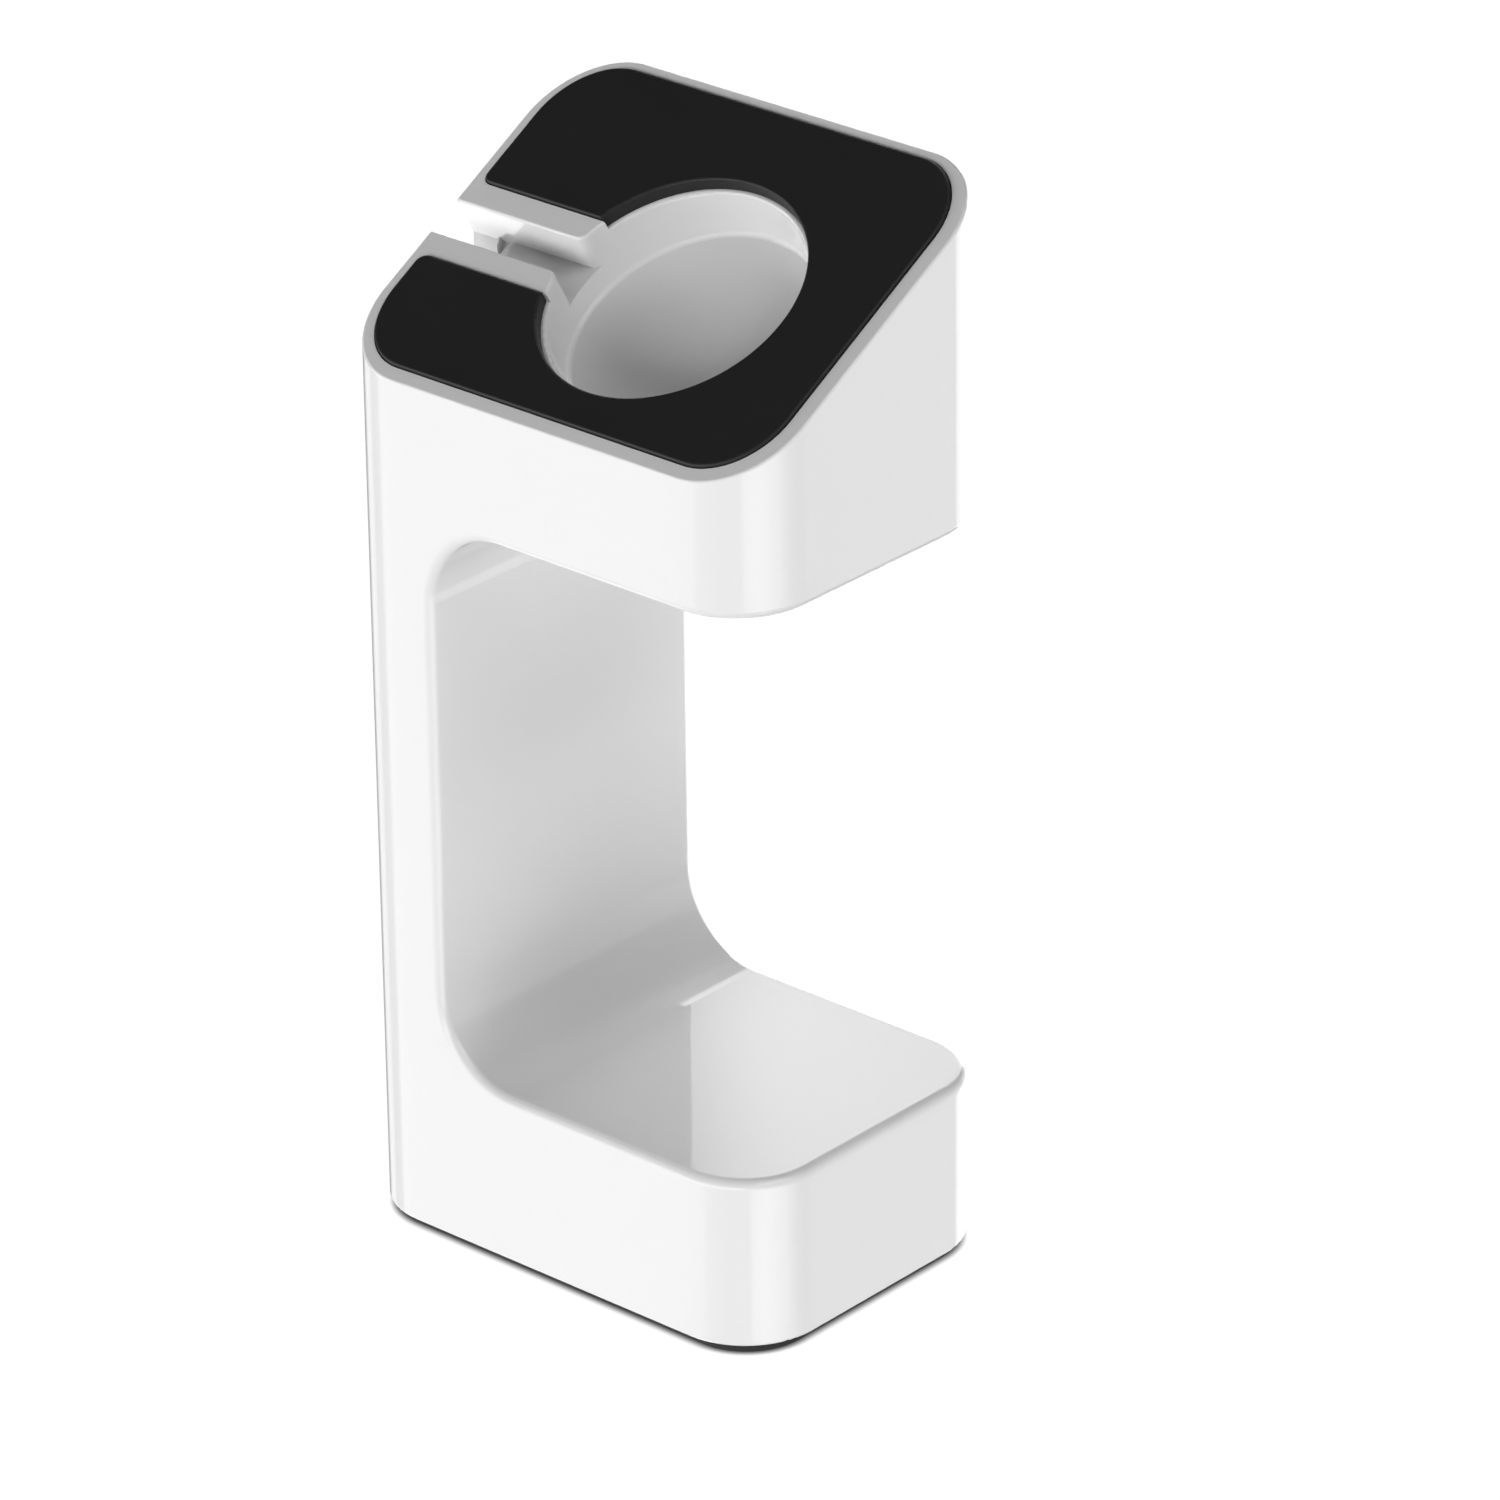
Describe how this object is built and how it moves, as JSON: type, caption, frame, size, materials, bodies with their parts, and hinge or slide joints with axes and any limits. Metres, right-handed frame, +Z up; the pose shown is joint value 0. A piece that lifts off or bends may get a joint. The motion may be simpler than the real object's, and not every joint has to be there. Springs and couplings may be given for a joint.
{
  "type": "smartwatch charging dock",
  "caption": "C-shaped desk dock that holds a smartwatch and its round charger on a sloping padded head, with a cord slot and a cord groove down the column.",
  "frame": {"origin": "on the surface it stands on, under the middle of the foot", "axes": "+X from the column to the open side of the C, +Y up the slope of the head, +Z up"},
  "size_m": [0.057, 0.0398, 0.1208],
  "materials": {
    "white_plastic": "white moulded plastic, polished gloss on the sides, satin on the sloping rim",
    "white_plastic_liner": "white moulded plastic, polished gloss",
    "pad_rubber": "black matte silicone with a very fine grain",
    "foot_rubber": "black matte sheet rubber",
    "cover_plastic": "white moulded plastic, unpolished",
    "ballast_steel": "plain blank, unpainted",
    "screw_steel": "zinc plated"
  },
  "bodies": {
    "root": {"outer_shell": "white_plastic", "inner_liner": "white_plastic_liner", "top_pad": "pad_rubber", "foot_pad": "foot_rubber", "base_cover": "cover_plastic", "ballast": "ballast_steel", "base_screws": "screw_steel"}
  },
  "joints": []
}
